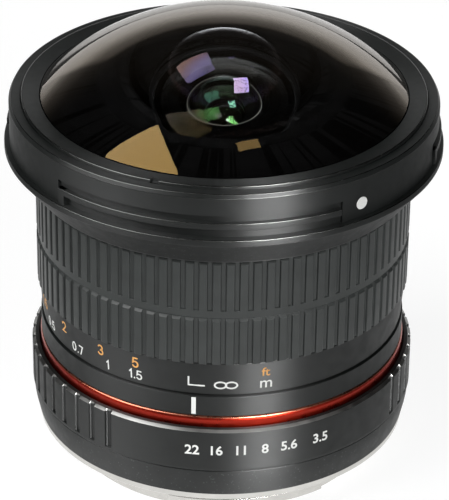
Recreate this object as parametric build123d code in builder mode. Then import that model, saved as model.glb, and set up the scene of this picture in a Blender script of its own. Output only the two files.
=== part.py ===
from build123d import *
import os
from math import asin, cos, degrees, radians, sin, sqrt

os.makedirs("parts", exist_ok=True)

# A manual fisheye lens: bulging front glass, flange with hood rails, rubber focus grip,
# numbered aperture ring and a three-lug bayonet, drawn focused far away and stopped down.
# Millimetres and degrees. The origin is the centre of the mount flange face, +Z runs
# forwards along the optical axis, and the index line looks towards -Y. Places round the
# axis are angles from the -Y side, counter-clockwise seen from the front.

# Fits
seat_gap = 0.02
running_fit = 0.1
pin_fit = 0.08
end_play = 0.15
cement = 0.02
overrun = 1.0
edge_break = 0.2
facing = -90.0

# Stack of the outside along the axis, from the mount flange forwards
plate_thickness = 1.2
rear_barrel_length = 5.2
aperture_ring_length = 8.05
red_ring_shown = 1.9
index_barrel_length = 3.8
focus_gap = 0.3
scale_band_length = 6.3
grip_length = 19.65
flange_gap = 0.45

# Main barrel
tube_outer = 29.0
tube_wall = 1.4
spigot_length = 3.0
ledge_width = 0.9
ledge_height = 1.6
ledge_level = 20.0

# Bayonet plate
plate_step = 0.1
throat_wall = 2.05
neck_radius = 26.95
neck_length = 5.4
lug_radius = 28.7
lug_thickness = 1.5
lug_drop = 2.6
lug_count = 3
lug_sweep = 56.0
lug_start = 10.0
screw_count = 4
screw_inset = 1.85
screw_radius = 0.8
screw_head_radius = 1.4
screw_head_height = 0.7
screw_length = 4.6
screw_start = 35.0
screw_slot_width = 0.35
screw_slot_depth = 0.3
lock_hole_radius = 1.1
lock_hole_angle = 90.0

# Rear barrel and click ball
rear_barrel_foot_step = 1.0
rear_barrel_belly_step = 0.45
rear_barrel_top_step = 0.2
click_inset = 2.3
click_ball_radius = 0.6
click_angle = 180.0
click_dimple_radius = 0.5
click_dimple_depth = 0.25

# Aperture ring
aperture_ring_wall = 4.5
aperture_travel = 38.6
stop_step = 7.13
whole_stops = 5
top_bevel_width = 0.6
top_bevel_height = 0.4
aperture_recess_gap = 0.3
aperture_recess_depth = 1.2
flute_count = 43
flute_pitch = 6.26
first_flute = -34.8
flute_width = 1.25
flute_depth = 0.62
flute_foot = 0.6

# Red ring and index barrel
red_ring_step = 1.5
red_ring_hidden = 0.85
red_ring_round = 0.7
index_barrel_step = 0.2

# Focus ring, cam drum and grip
scale_foot_step = 0.3
scale_taper = 0.5
sleeve_step = 1.0
cam_wall = 1.1
cam_length = 12.5
grip_base_height = 0.7
rib_height = 0.65
rib_count = 90
rib_share = 0.55
first_rib = 2.5
rib_bevel = 0.55
lower_rows = 8.9
middle_band = 1.4
middle_band_height = 0.4
tie_screw_radius = 0.9
tie_screw_level = 2.6
tie_screw_start = 90.0

# Focus travel
focus_travel = 103.0
group_slide = 1.5
follower_count = 3
follower_start = 30.0
follower_level = 41.5
follower_stud_radius = 0.9
follower_roller_radius = 1.5

# Front flange
flange_foot_step = 0.75
flange_foot_bevel = 0.4
lip_rise = 5.4
lip_overhang = 0.9
lip_height = 1.1
groove_depth = 0.5
groove_height = 1.7
rail_height = 1.0
rail_gap = 0.7
rail_overhang = 0.35
rail_count = 3
rail_start = -46.8
rail_sweep = 78.0
rail_pillar_sweep = 2.2
band_spread = 3.5
band_height = 3.7
band_round = 0.7
shelf_clearance = 0.7
shelf_thickness = 1.7
flange_bore = 27.0
flange_cone_height = 3.9

# Front glass and bezel
glass_seat_above_lip = 4.4
glass_rim_margin = 2.7
glass_rim_height = 2.7
glass_step = 0.6
glass_collar_height = 1.0
dome_curve = 45.8
hollow_curve = 16.2
glass_centre = 2.87
bezel_margin = 2.1
bezel_depth = 1.2
bezel_proud = 0.5
bezel_slope = 0.3
bezel_notch_angle = -18.7
bezel_notch_width = 1.5
bezel_notch_depth = 0.6
bezel_notch_length = 1.1

# Middle group that slides to focus, heights at rest
carrier_top = 56.2
front_tube_wall = 1.6
front_tube_bottom = 43.0
carrier_web = 3.0
skirt_wall = 1.5
skirt_above_web = 4.0
skirt_below_web = 3.5
rear_tube_wall = 3.7
rear_tube_length = 11.0
ring_height = 1.2
rim_flat = 0.3
second_radius = 16.0
second_front = 55.2
second_edge = 4.7
second_front_curve = 40.0
second_rear_curve = 12.0
second_rear_reach = 9.37
second_ring_width = 0.6
second_ring_height = 0.9
third_step = 4.8
third_front = 49.0
third_edge = 4.5
third_front_curve = -60.0
third_rear_curve = 22.0
third_rear_margin = 1.8
third_ring_width = 1.4
fourth_step = 2.7
fourth_front = 38.3
fourth_edge = 2.1
fourth_front_curve = 18.0
cemented_curve = -14.0
fifth_edge = 5.0
fifth_rear_curve = -40.0
fourth_ledge = 0.9
fifth_ring_width = 1.1

# Iris
base_thickness = 1.2
stop_radius = 6.3
largest_stop = 3.5
smallest_stop = 22.0
blade_count = 6
blade_inner = 6.6
blade_outer = 11.2
blade_sweep = 125.0
blade_thickness = 0.2
blade_gap = 0.15
pivot_ring_radius = 12.4
blade_ear = 1.0
blade_pin = 0.5
pin_depth = 0.9
drive_spread = 20.0
iris_start = 15.0
drive_thickness = 1.0
drive_bore = 7.4
drive_margin = 1.6
wall_clearance = 0.3
blade_wall = 0.9
pillar_inset = 1.0
pillar_radius = 1.2
pillar_places = (60.0, 270.0, 330.0)
cover_margin = 1.2
cover_thickness = 0.8

# Aperture lever
lever_angle = 175.0
lever_sweep = 7.0
lever_level = 9.4
lever_arm_height = 2.0
lever_inset = 3.8
lever_wall = 1.8
lever_root_depth = 1.9
window_slack_angle = 1.2
window_slack = 0.3

# Rear group, from the iris backwards
cell_wall = 1.6
cell_flange_width = 5.3
cell_flange_thickness = 1.0
cell_length = 23.7
sixth_step = 0.8
sixth_below_flange = 2.2
sixth_edge = 1.8
sixth_front_curve = 22.0
sixth_rear_curve = -30.0
sixth_ledge = 0.7
spacer_wall = 0.9
first_spacer = 1.6
seventh_radius = 8.3
seventh_edge = 3.9
seventh_front_curve = -45.0
rear_cemented_curve = 16.0
eighth_edge = 3.0
eighth_rear_curve = -24.0
second_spacer = 3.2
ninth_step = 1.3
ninth_edge = 4.0
ninth_front_curve = 32.0
last_cemented_curve = -20.0
tenth_edge = 2.6
tenth_rear_curve = -42.0
rear_ring_width = 1.1
rear_ring_height = 1.3

# Rear baffle
baffle_rim_width = 2.0
baffle_rim_thickness = 0.8
baffle_wall = 1.2
baffle_depth = 4.6
baffle_clearance = 0.7
baffle_collar = 1.4

# Radii that follow from the radii they sit on or in
tube_inner = tube_outer - tube_wall
guide_bore = tube_outer + running_fit
seat_bore = tube_outer + seat_gap
cam_outer = guide_bore + cam_wall
aperture_ring_radius = tube_outer + aperture_ring_wall
rear_barrel_top_radius = aperture_ring_radius - rear_barrel_top_step
rear_barrel_belly = aperture_ring_radius - rear_barrel_belly_step
rear_barrel_foot = aperture_ring_radius - rear_barrel_foot_step
plate_radius = rear_barrel_foot - plate_step
screw_ring_radius = plate_radius - screw_inset
click_ring_radius = aperture_ring_radius - click_inset
red_ring_radius = aperture_ring_radius - red_ring_step
aperture_recess_radius = red_ring_radius + aperture_recess_gap
index_barrel_radius = red_ring_radius - index_barrel_step
scale_foot_radius = index_barrel_radius - scale_foot_step
scale_top_radius = scale_foot_radius + scale_taper
sleeve_radius = scale_top_radius - sleeve_step
grip_base = sleeve_radius + grip_base_height
rib_crest = grip_base + rib_height
middle_band_radius = grip_base + middle_band_height
flange_foot_radius = rib_crest + flange_foot_step
band_radius = flange_foot_radius + band_spread
lip_radius = band_radius + lip_overhang
groove_floor = band_radius - groove_depth
rail_radius = band_radius + rail_overhang
bezel_outer = band_radius - bezel_margin
glass_rim = bezel_outer - glass_rim_margin
glass_collar = glass_rim - glass_step
lever_inner = tube_inner - lever_inset
lever_root = tube_outer + lever_root_depth
throat_bore = neck_radius - throat_wall
front_tube_outer = second_radius + front_tube_wall
shelf_bore = front_tube_outer + shelf_clearance
second_ring_bore = second_radius - second_ring_width
third_radius = second_radius - third_step
third_rear_reach = third_radius - third_rear_margin
third_ring_bore = third_radius - third_ring_width
fourth_radius = third_radius - fourth_step
fourth_opening = fourth_radius - fourth_ledge
fifth_ring_bore = fourth_radius - fifth_ring_width
rear_tube_outer = fourth_radius + rear_tube_wall
drive_rim = pivot_ring_radius + drive_margin
wall_inner = drive_rim + wall_clearance
wall_outer = wall_inner + blade_wall
pillar_ring_radius = wall_outer + pillar_inset
cover_radius = pillar_ring_radius + cover_margin
sixth_radius = seventh_radius - sixth_step
sixth_opening = sixth_radius - sixth_ledge
ninth_radius = seventh_radius + ninth_step
rear_ring_bore = ninth_radius - rear_ring_width
cell_outer = ninth_radius + cell_wall
cell_flange = cell_outer + cell_flange_width
baffle_opening = cell_outer + baffle_clearance

# Heights that follow from the stack
rear_barrel_top = plate_thickness + rear_barrel_length
aperture_bottom = rear_barrel_top + end_play
aperture_top = aperture_bottom + aperture_ring_length
index_bottom = aperture_top + red_ring_shown
index_top = index_bottom + index_barrel_length
focus_bottom = index_top + focus_gap
scale_top = focus_bottom + scale_band_length
grip_top = scale_top + grip_length
flange_bottom = grip_top + flange_gap
lip_bottom = flange_bottom + lip_rise
lip_top = lip_bottom + lip_height
rail_bottom = lip_top + groove_height
rail_top = rail_bottom + rail_height
band_bottom = rail_top + rail_gap
band_top = band_bottom + band_height
front_face = band_top + band_round
glass_seat = lip_top + glass_seat_above_lip
glass_shoulder = glass_seat + glass_rim_height
dome_edge = glass_shoulder + glass_collar_height
bezel_top = front_face + bezel_proud
bezel_seat = glass_shoulder - bezel_depth
spigot_top = flange_bottom + spigot_length
cam_bottom = grip_top - cam_length
base_bottom = ledge_level + ledge_height
base_top = base_bottom + base_thickness
level_pitch = blade_thickness + blade_gap
stack_top = base_top + blade_gap + blade_count * level_pitch
drive_top = stack_top + drive_thickness
cover_bottom = drive_top + end_play
skirt_outer = tube_inner - running_fit
lever_outer = lever_inner + lever_wall

# Iris motion: the least opening sets how far each blade swings
stop_least = stop_radius * largest_stop / smallest_stop
blade_swing = 2 * degrees(asin((blade_inner - stop_least) / (2 * pivot_ring_radius)))
drive_arm = 2 * pivot_ring_radius * sin(radians(drive_spread / 2))


def sag(curve, reach):
    """Depth of a spherical surface at a distance from the axis, with the curve's sign."""
    side = 1 if curve > 0 else -1
    return curve - side * sqrt(curve**2 - reach**2)


def perch(curve, reach, bore):
    """How far a ring that bears on a bulging face with its bore stands off the face's rim."""
    return abs(sag(curve, reach) - sag(curve, bore)) + seat_gap


def meridian(angle):
    """Half plane through the axis at a place round it, x outwards and y forwards."""
    turn = radians(facing + angle)
    return Plane(origin=(0, 0, 0), x_dir=(cos(turn), sin(turn), 0), z_dir=(sin(turn), -cos(turn), 0))


def outwards(angle, reach, height):
    """Plane square to a radius of the lens, looking outwards, y forwards."""
    turn = radians(facing + angle)
    return Plane(
        origin=(reach * cos(turn), reach * sin(turn), height),
        x_dir=(-sin(turn), cos(turn), 0),
        z_dir=(cos(turn), sin(turn), 0),
    )


def band(inner, outer, middle, sweep):
    """Flat piece of a ring between two radii, centred on a place round the axis."""
    start = facing + middle - sweep / 2
    with BuildSketch() as sketch:
        with BuildLine():
            far = CenterArc((0, 0), outer, start, sweep)
            near = CenterArc((0, 0), inner, start, sweep)
            Line(far @ 0, near @ 0)
            Line(far @ 1, near @ 1)
        make_face()
    return sketch.sketch


def lens(edge, front, thickness, front_curve, rear_curve, front_reach, rear_reach):
    """Glass element turned about the axis; a curve above zero bulges forwards."""
    rear = front - thickness
    front_apex = front + sag(front_curve, front_reach)
    rear_apex = rear + sag(rear_curve, rear_reach)
    half_front = front_reach / 2
    half_rear = rear_reach / 2
    with BuildPart() as element:
        with BuildSketch(Plane.XZ):
            with BuildLine():
                Line((0, rear_apex), (0, front_apex))
                ThreePointArc(
                    (0, front_apex), (half_front, front_apex - sag(front_curve, half_front)), (front_reach, front)
                )
                Polyline((front_reach, front), (edge, front), (edge, rear), (rear_reach, rear))
                ThreePointArc((rear_reach, rear), (half_rear, rear_apex - sag(rear_curve, half_rear)), (0, rear_apex))
            make_face()
        revolve(axis=Axis.Z)
    return element.part


def collar(outer, inner, bottom, top, bevel=edge_break):
    """Retaining ring or spacer with its front inner edge bevelled."""
    with BuildPart() as ring:
        with BuildSketch(Plane.XZ):
            with BuildLine():
                Polyline(
                    (inner, bottom), (outer, bottom), (outer, top), (inner + bevel, top), (inner, top - bevel),
                    close=True,
                )
            make_face()
        revolve(axis=Axis.Z)
    return ring.part


# Bayonet plate: flange, neck and three lugs, screw seats and the lock pin's hole
with BuildPart() as mount_plate:
    with BuildSketch(Plane.XZ):
        with BuildLine():
            Polyline(
                (throat_bore, -neck_length),
                (neck_radius - edge_break, -neck_length),
                (neck_radius, -neck_length + edge_break),
                (neck_radius, 0),
                (plate_radius - edge_break, 0),
                (plate_radius, edge_break),
                (plate_radius, plate_thickness),
                (throat_bore, plate_thickness),
                close=True,
            )
        make_face()
    revolve(axis=Axis.Z)
    for lug in range(lug_count):
        middle = lug_start + lug * 360 / lug_count
        with BuildSketch(Plane.XY.offset(-lug_drop - lug_thickness)):
            add(band(neck_radius - tube_wall, lug_radius, middle, lug_sweep))
        extrude(amount=lug_thickness)
    with Locations(Plane(origin=(0, 0, 0), x_dir=(1, 0, 0), z_dir=(0, 0, -1))):
        with PolarLocations(screw_ring_radius, screw_count, screw_start):
            CounterSinkHole(screw_radius + seat_gap, screw_head_radius + seat_gap)
    with BuildSketch():
        with PolarLocations(screw_ring_radius, 1, facing + lock_hole_angle):
            Circle(lock_hole_radius)
    extrude(amount=plate_thickness, mode=Mode.SUBTRACT)
mount_plate.part.label = "mount_plate"
export_step(mount_plate.part, "parts/mount_plate.step")


# Four countersunk mount screws with a cross slot
with BuildPart() as mount_screws:
    with PolarLocations(screw_ring_radius, screw_count, -screw_start):
        Cylinder(screw_radius, screw_length, align=(Align.CENTER, Align.CENTER, Align.MIN))
        Cone(screw_head_radius, screw_radius, screw_head_height, align=(Align.CENTER, Align.CENTER, Align.MIN))
    with BuildSketch():
        with PolarLocations(screw_ring_radius, screw_count, -screw_start):
            Rectangle(screw_head_radius, screw_slot_width)
            Rectangle(screw_slot_width, screw_head_radius)
    extrude(amount=screw_slot_depth, mode=Mode.SUBTRACT)
mount_screws.part.label = "mount_screws"
export_step(mount_screws.part, "parts/mount_screws.step")


# Rear barrel: fixed base ring with a gently bellied side and the click ball's bore
with BuildPart() as rear_barrel:
    with BuildSketch(Plane.XZ):
        with BuildLine():
            Polyline(
                (rear_barrel_top_radius - edge_break, rear_barrel_top),
                (seat_bore, rear_barrel_top),
                (seat_bore, plate_thickness),
                (rear_barrel_foot, plate_thickness),
            )
            ThreePointArc(
                (rear_barrel_foot, plate_thickness),
                (rear_barrel_belly, plate_thickness + rear_barrel_length / 2),
                (rear_barrel_top_radius, rear_barrel_top - edge_break),
            )
            Line(
                (rear_barrel_top_radius, rear_barrel_top - edge_break),
                (rear_barrel_top_radius - edge_break, rear_barrel_top),
            )
        make_face()
    revolve(axis=Axis.Z)
    with BuildSketch(Plane.XY.offset(plate_thickness)):
        with PolarLocations(screw_ring_radius, screw_count, -screw_start):
            Circle(screw_radius + seat_gap)
    extrude(amount=screw_length - plate_thickness + seat_gap, mode=Mode.SUBTRACT)
    with BuildSketch(Plane.XY.offset(rear_barrel_top)):
        with PolarLocations(click_ring_radius, 1, facing + click_angle):
            Circle(click_ball_radius + pin_fit)
    extrude(amount=-2 * click_ball_radius - 2 * seat_gap, mode=Mode.SUBTRACT)
rear_barrel.part.label = "rear_barrel"
export_step(rear_barrel.part, "parts/rear_barrel.step")

# Click ball, pressed down into its bore
with BuildPart() as click_ball:
    with BuildSketch(meridian(click_angle)):
        with BuildLine():
            ball_middle = rear_barrel_top - seat_gap - click_ball_radius
            CenterArc((click_ring_radius, ball_middle), click_ball_radius, -90, 180)
            Line((click_ring_radius, ball_middle - click_ball_radius), (click_ring_radius, ball_middle + click_ball_radius))
        make_face()
    revolve(axis=Axis(
        (click_ring_radius * cos(radians(facing + click_angle)), click_ring_radius * sin(radians(facing + click_angle)), 0),
        (0, 0, 1),
    ))
click_ball.part.label = "click_ball"
export_step(click_ball.part, "parts/click_ball.step")

# Main barrel: fixed tube on which both rings turn, with the iris ledge, the window for
# the aperture lever and three straight slots for the followers of the focus cam
window_sweep = aperture_travel + lever_sweep + 2 * window_slack_angle
window_middle = lever_angle - aperture_travel / 2
slot_height = group_slide + 2 * follower_roller_radius + 2 * window_slack
with BuildPart() as main_barrel:
    with BuildSketch(Plane.XZ):
        with BuildLine():
            Polyline(
                (tube_inner, plate_thickness),
                (tube_outer, plate_thickness),
                (tube_outer, spigot_top),
                (tube_inner, spigot_top),
                (tube_inner, base_bottom),
                (tube_inner - ledge_width, base_bottom),
                (tube_inner - ledge_width, ledge_level + ledge_width),
                (tube_inner, ledge_level),
                close=True,
            )
        make_face()
    revolve(axis=Axis.Z)
    with BuildSketch(Plane.XY.offset(lever_level - window_slack)):
        add(band(tube_inner - overrun, tube_outer + overrun, window_middle, window_sweep))
    extrude(amount=lever_arm_height + 2 * window_slack, mode=Mode.SUBTRACT)
    for follower in range(follower_count):
        place = follower_start + follower * 360 / follower_count
        with BuildSketch(outwards(place, tube_inner - overrun, follower_level + group_slide / 2)):
            SlotOverall(slot_height, 2 * (follower_roller_radius + pin_fit), rotation=90)
        extrude(amount=tube_wall + 2 * overrun, mode=Mode.SUBTRACT)
main_barrel.part.label = "main_barrel"
export_step(main_barrel.part, "parts/main_barrel.step")

flute_range = flute_pitch * (flute_count - 1)
flute_start = facing + first_flute - flute_range
flute_middle = aperture_ring_radius - flute_depth + flute_width / 2

# Aperture ring: smooth numbered face, flutes over the rest, click dimples underneath,
# and a pocket that takes the root of the lever
with BuildPart() as aperture_ring:
    with BuildSketch(Plane.XZ):
        with BuildLine():
            Polyline(
                (guide_bore, aperture_bottom),
                (aperture_ring_radius - edge_break, aperture_bottom),
                (aperture_ring_radius, aperture_bottom + edge_break),
                (aperture_ring_radius, aperture_top - top_bevel_height),
                (aperture_ring_radius - top_bevel_width, aperture_top),
                (aperture_recess_radius, aperture_top),
                (aperture_recess_radius, aperture_top - aperture_recess_depth),
                (guide_bore, aperture_top - aperture_recess_depth),
                close=True,
            )
        make_face()
    revolve(axis=Axis.Z)
    with BuildSketch(Plane.XY.offset(aperture_bottom + flute_foot)):
        with PolarLocations(flute_middle, flute_count, flute_start, flute_range, endpoint=True):
            Circle(flute_width / 2)
            with Locations((flute_width / 2, 0)):
                Rectangle(flute_width, flute_width)
    extrude(amount=aperture_ring_length, mode=Mode.SUBTRACT)
    with BuildSketch(Plane.XY.offset(aperture_bottom)):
        with PolarLocations(
            click_ring_radius, whole_stops, facing + click_angle, stop_step * (whole_stops - 1), endpoint=True
        ):
            Circle(click_dimple_radius)
        with PolarLocations(click_ring_radius, 1, facing + click_angle + aperture_travel):
            Circle(click_dimple_radius)
    extrude(amount=click_dimple_depth, mode=Mode.SUBTRACT)
    with BuildSketch(Plane.XY.offset(lever_level)):
        add(band(tube_outer, lever_root, lever_angle, lever_sweep))
    extrude(amount=lever_arm_height, mode=Mode.SUBTRACT)
aperture_ring.part.label = "aperture_ring"
export_step(aperture_ring.part, "parts/aperture_ring.step")

# Aperture lever: an arm in through the window and a strip forwards to the iris
with BuildPart() as aperture_lever:
    with BuildSketch(Plane.XY.offset(lever_level)):
        add(band(lever_inner, lever_root - seat_gap, lever_angle, lever_sweep - window_slack))
    extrude(amount=lever_arm_height)
    with BuildSketch(Plane.XY.offset(lever_level)):
        add(band(lever_inner, lever_outer, lever_angle, lever_sweep - window_slack))
    extrude(amount=stack_top - lever_level)
aperture_lever.part.label = "aperture_lever"
export_step(aperture_lever.part, "parts/aperture_lever.step")

# Red ring: narrow bead, its foot sunk in the aperture ring's recess
with BuildPart() as red_ring:
    with BuildSketch(Plane.XZ):
        with BuildLine():
            red_foot = aperture_top - red_ring_hidden
            Polyline(
                (red_ring_radius - red_ring_round, index_bottom),
                (seat_bore, index_bottom),
                (seat_bore, red_foot),
                (red_ring_radius, red_foot),
                (red_ring_radius, index_bottom - red_ring_round),
            )
            RadiusArc(
                (red_ring_radius, index_bottom - red_ring_round),
                (red_ring_radius - red_ring_round, index_bottom),
                -red_ring_round,
            )
        make_face()
    revolve(axis=Axis.Z)
red_ring.part.label = "red_ring"
export_step(red_ring.part, "parts/red_ring.step")

# Index barrel: fixed band that carries the index line
with BuildPart() as index_barrel:
    with BuildSketch(Plane.XZ):
        with BuildLine():
            Polyline(
                (seat_bore, index_bottom),
                (index_barrel_radius - edge_break, index_bottom),
                (index_barrel_radius, index_bottom + edge_break),
                (index_barrel_radius, index_top - edge_break),
                (index_barrel_radius - edge_break, index_top),
                (seat_bore, index_top),
                close=True,
            )
        make_face()
    revolve(axis=Axis.Z)
index_barrel.part.label = "index_barrel"
export_step(index_barrel.part, "parts/index_barrel.step")

# Focus ring: flared band for the distance scales, and a sleeve under the grip that is
# bored out for the cam drum
tie_level = cam_bottom + tie_screw_level
with BuildPart() as focus_ring:
    with BuildSketch(Plane.XZ):
        with BuildLine():
            Polyline(
                (guide_bore, focus_bottom),
                (scale_foot_radius - edge_break, focus_bottom),
                (scale_foot_radius, focus_bottom + edge_break),
                (scale_top_radius, scale_top - edge_break),
                (scale_top_radius - edge_break, scale_top),
                (sleeve_radius, scale_top),
                (sleeve_radius, grip_top),
                (cam_outer + seat_gap, grip_top),
                (cam_outer + seat_gap, cam_bottom),
                (guide_bore, cam_bottom),
                close=True,
            )
        make_face()
    revolve(axis=Axis.Z)
    for screw in range(follower_count):
        place = tie_screw_start + screw * 360 / follower_count
        with BuildSketch(outwards(place, cam_outer - overrun, tie_level)):
            Circle(tie_screw_radius + seat_gap)
        extrude(amount=sleeve_radius - cam_outer + 2 * overrun, mode=Mode.SUBTRACT)
focus_ring.part.label = "focus_ring"
export_step(focus_ring.part, "parts/focus_ring.step")

# Cam drum: three shallow helical slots that drive the followers
slot_lead = group_slide * 360 / focus_travel
with BuildPart() as focus_cam:
    with BuildSketch(Plane.XY.offset(cam_bottom)):
        Circle(cam_outer)
        Circle(guide_bore, mode=Mode.SUBTRACT)
    extrude(amount=cam_length)
    for follower in range(follower_count):
        place = follower_start + follower * 360 / follower_count
        turn = radians(facing + place)
        cam_middle = (cam_outer + guide_bore) / 2
        with BuildLine(mode=Mode.PRIVATE) as path:
            Helix(slot_lead, group_slide, cam_middle, center=(0, 0, follower_level), lefthand=True)
        spine = path.edge().rotate(Axis.Z, facing + place)
        with BuildSketch(Plane(origin=spine @ 0, x_dir=(cos(turn), sin(turn), 0), z_dir=spine % 0)):
            Rectangle(cam_wall + overrun, 2 * (follower_roller_radius + pin_fit))
        sweep(path=spine, is_frenet=True, mode=Mode.SUBTRACT)
        for share in (0, 1):
            end_place = place - share * focus_travel
            end_level = follower_level + share * group_slide
            with BuildSketch(outwards(end_place, guide_bore - overrun, end_level)):
                Circle(follower_roller_radius + pin_fit)
            extrude(amount=cam_wall + 2 * overrun, mode=Mode.SUBTRACT)
    for screw in range(follower_count):
        place = tie_screw_start + screw * 360 / follower_count
        with BuildSketch(outwards(place, guide_bore - overrun, tie_level)):
            Circle(tie_screw_radius + seat_gap)
        extrude(amount=cam_wall + 2 * overrun, mode=Mode.SUBTRACT)
focus_cam.part.label = "focus_cam"
export_step(focus_cam.part, "parts/focus_cam.step")

# Three screws that tie the sleeve to the cam drum, flush under the grip
with BuildPart() as tie_screws:
    for screw in range(follower_count):
        place = tie_screw_start + screw * 360 / follower_count
        with BuildSketch(outwards(place, guide_bore + running_fit, tie_level)):
            Circle(tie_screw_radius)
        extrude(amount=sleeve_radius - guide_bore - 2 * running_fit)
tie_screws.part.label = "tie_screws"
export_step(tie_screws.part, "parts/tie_screws.step")

# Rubber grip: base sleeve, plain band between two rows of ribs, ribs bevelled in front
rib_half = rib_crest * radians(360 / rib_count * rib_share) / 2
upper_foot = scale_top + lower_rows + middle_band
with BuildPart() as focus_grip:
    with BuildSketch(Plane.XY.offset(scale_top)):
        with PolarLocations(0, rib_count, facing + first_rib):
            with Locations(((rib_crest + sleeve_radius) / 2, 0)):
                Rectangle(rib_crest - sleeve_radius, 2 * rib_half)
        Circle(grip_base)
        Circle(sleeve_radius + seat_gap, mode=Mode.SUBTRACT)
    extrude(amount=grip_length)
    with BuildSketch(Plane.XZ):
        with BuildLine():
            Polyline(
                (sleeve_radius - overrun, scale_top),
                (rib_crest, scale_top),
                (rib_crest, scale_top + lower_rows - rib_bevel),
                (grip_base, scale_top + lower_rows),
                (middle_band_radius, scale_top + lower_rows),
                (middle_band_radius, upper_foot),
                (rib_crest, upper_foot),
                (rib_crest, grip_top - rib_bevel),
                (grip_base, grip_top),
                (sleeve_radius - overrun, grip_top),
                close=True,
            )
        make_face()
    revolve(axis=Axis.Z, mode=Mode.INTERSECT)
focus_grip.part.label = "focus_grip"
export_step(focus_grip.part, "parts/focus_grip.step")

# Front flange: cone out to the lip, groove, wall and counterbores for glass and bezel,
# with three hood rails that each end in a pillar
with BuildPart() as front_flange:
    with BuildSketch(Plane.XZ):
        with BuildLine():
            Polyline(
                (seat_bore, flange_bottom),
                (flange_foot_radius, flange_bottom),
                (flange_foot_radius + flange_foot_bevel, flange_bottom + flange_foot_bevel),
                (lip_radius - edge_break, lip_bottom - edge_break),
                (lip_radius, lip_bottom),
                (lip_radius, lip_top - edge_break),
                (lip_radius - edge_break, lip_top),
                (groove_floor, lip_top),
                (groove_floor, band_bottom),
                (band_radius, band_bottom),
                (band_radius, band_top),
                (band_radius - band_round / 2, front_face),
                (bezel_outer + running_fit, front_face),
                (bezel_outer + running_fit, bezel_seat),
                (glass_rim + seat_gap, bezel_seat),
                (glass_rim + seat_gap, glass_seat),
                (shelf_bore, glass_seat),
                (shelf_bore, glass_seat - shelf_thickness),
                (flange_bore, glass_seat - shelf_thickness - flange_cone_height),
                (flange_bore, spigot_top),
                (seat_bore, spigot_top),
                close=True,
            )
        make_face()
    revolve(axis=Axis.Z)
    for rail in range(rail_count):
        place = rail_start + rail * 360 / rail_count
        with BuildSketch(Plane.XY.offset(rail_bottom)):
            add(band(groove_floor - overrun, rail_radius, place + rail_sweep / 2, rail_sweep))
        extrude(amount=rail_height)
        with BuildSketch(Plane.XY.offset(lip_top - edge_break)):
            add(band(groove_floor - overrun, rail_radius, place + rail_pillar_sweep / 2, rail_pillar_sweep))
        extrude(amount=rail_top - lip_top + edge_break)
front_flange.part.label = "front_flange"
export_step(front_flange.part, "parts/front_flange.step")

# Front glass: deep meniscus with a rim step under the bezel
dome_apex = dome_edge + sag(dome_curve, glass_collar)
hollow_apex = dome_apex - glass_centre
hollow_reach = sqrt(hollow_curve**2 - (hollow_curve - hollow_apex + glass_seat) ** 2)
with BuildPart() as front_element:
    with BuildSketch(Plane.XZ):
        with BuildLine():
            Line((0, hollow_apex), (0, dome_apex))
            ThreePointArc(
                (0, dome_apex),
                (glass_collar / 2, dome_apex - sag(dome_curve, glass_collar / 2)),
                (glass_collar, dome_edge),
            )
            Polyline(
                (glass_collar, dome_edge),
                (glass_collar, glass_shoulder),
                (glass_rim, glass_shoulder),
                (glass_rim, glass_seat),
                (hollow_reach, glass_seat),
            )
            ThreePointArc(
                (hollow_reach, glass_seat),
                (hollow_reach / 2, hollow_apex - sag(hollow_curve, hollow_reach / 2)),
                (0, hollow_apex),
            )
        make_face()
    revolve(axis=Axis.Z)
front_element.part.label = "front_element"
export_step(front_element.part, "parts/front_element.step")

# Bezel: threaded ring that clamps the glass by its rim, with two spanner notches
with BuildPart() as front_bezel:
    with BuildSketch(Plane.XZ):
        with BuildLine():
            Polyline(
                (bezel_outer, bezel_seat),
                (bezel_outer, bezel_top - edge_break),
                (bezel_outer - edge_break, bezel_top),
                (glass_collar + running_fit, bezel_top - bezel_slope),
                (glass_collar + running_fit, glass_shoulder),
                (glass_rim + seat_gap, glass_shoulder),
                (glass_rim + seat_gap, bezel_seat),
                close=True,
            )
        make_face()
    revolve(axis=Axis.Z)
    with BuildSketch(Plane.XY.offset(bezel_top)):
        with PolarLocations(bezel_outer - bezel_notch_length / 2, 2, facing + bezel_notch_angle):
            Rectangle(bezel_notch_length, bezel_notch_width)
    extrude(amount=-bezel_notch_depth, mode=Mode.SUBTRACT)
front_bezel.part.label = "front_bezel"
export_step(front_bezel.part, "parts/front_bezel.step")

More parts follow.
